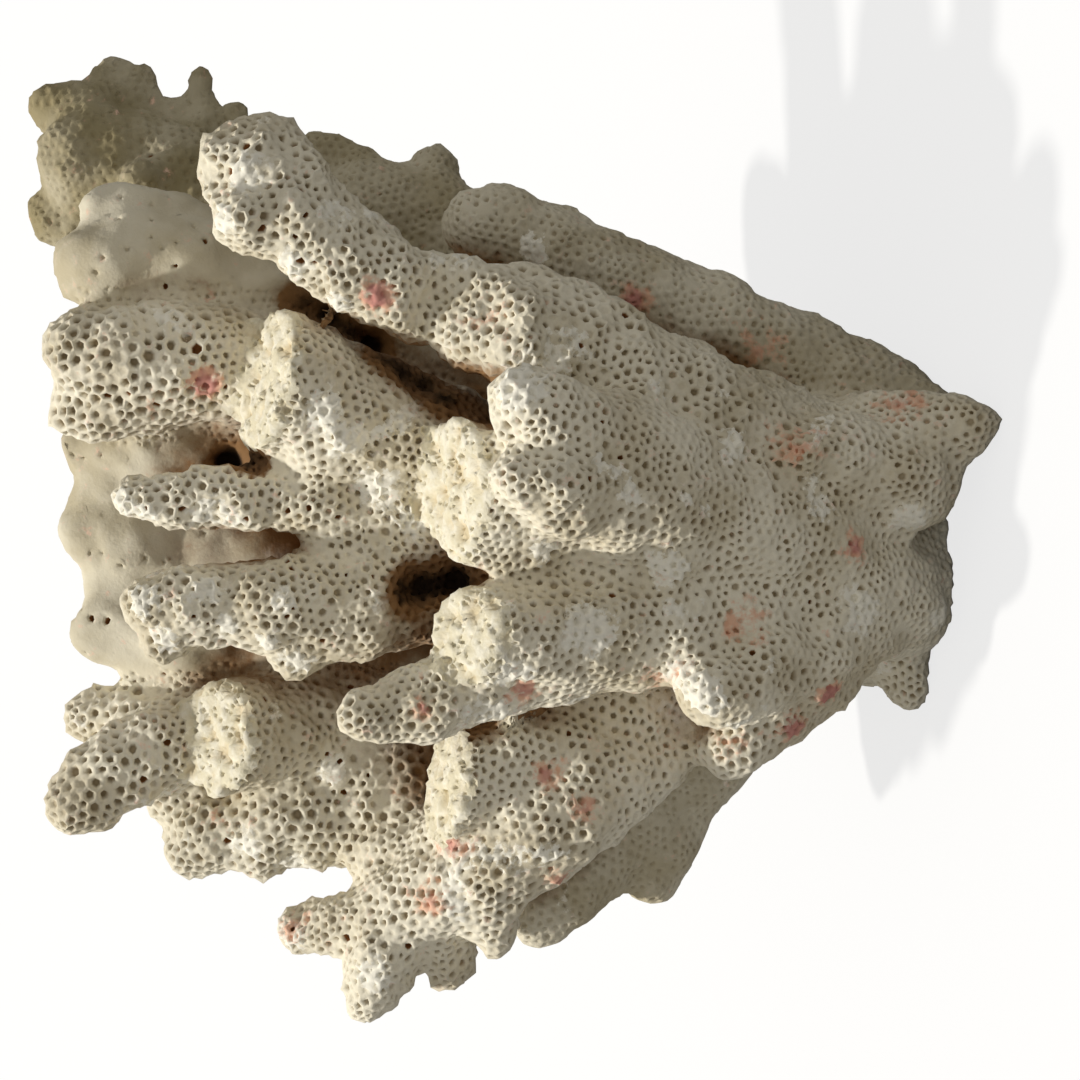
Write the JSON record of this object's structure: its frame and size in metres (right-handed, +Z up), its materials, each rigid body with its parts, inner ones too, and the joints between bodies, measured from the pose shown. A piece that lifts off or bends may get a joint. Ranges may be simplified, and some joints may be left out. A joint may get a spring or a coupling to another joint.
{
  "type": "branching coral",
  "caption": "Bleached, pitted branching stony coral that fans out from one flat cut foot, with rounded finger tips and some limbs broken short.",
  "frame": {"origin": "middle of the flat cut foot that the coral stands on", "axes": "+Z straight up from the cut, -Y towards the side that the picture shows, +X towards the picture's upper edge"},
  "size_m": [0.1268, 0.0969, 0.1119],
  "materials": {
    "bleached_skeleton": "matt, rough and porous",
    "broken_skeleton": "matt, rough and porous"
  },
  "bodies": {
    "root": {"base": "bleached_skeleton", "upper_limb": "broken_skeleton", "rear_upper_limb": "bleached_skeleton", "far_upper_limb": "bleached_skeleton", "crest_stem": "bleached_skeleton", "far_back_branch": "bleached_skeleton", "crest_back_branch": "bleached_skeleton", "crest_knobs": "bleached_skeleton", "smooth_limb": "bleached_skeleton", "pitted_limb": "bleached_skeleton", "web": "bleached_skeleton", "broken_limb": "broken_skeleton", "hand_palm": "bleached_skeleton", "hand_upper_finger": "bleached_skeleton", "hand_lower_finger": "bleached_skeleton", "front_limb": "bleached_skeleton", "front_upper_knob": "bleached_skeleton", "front_small_finger": "bleached_skeleton", "front_broken_finger": "broken_skeleton", "lower_front_limb": "broken_skeleton", "lower_front_finger": "bleached_skeleton", "lower_limb": "broken_skeleton", "bottom_limb": "bleached_skeleton", "bottom_fingers": "bleached_skeleton", "rear_bottom_limb": "bleached_skeleton", "side_nub": "bleached_skeleton", "left_stem": "broken_skeleton", "left_outer_limb": "bleached_skeleton", "left_lower_limb": "bleached_skeleton", "back_upper_limb": "bleached_skeleton", "back_middle_limb": "bleached_skeleton", "back_lower_limb": "bleached_skeleton"}
  },
  "joints": []
}
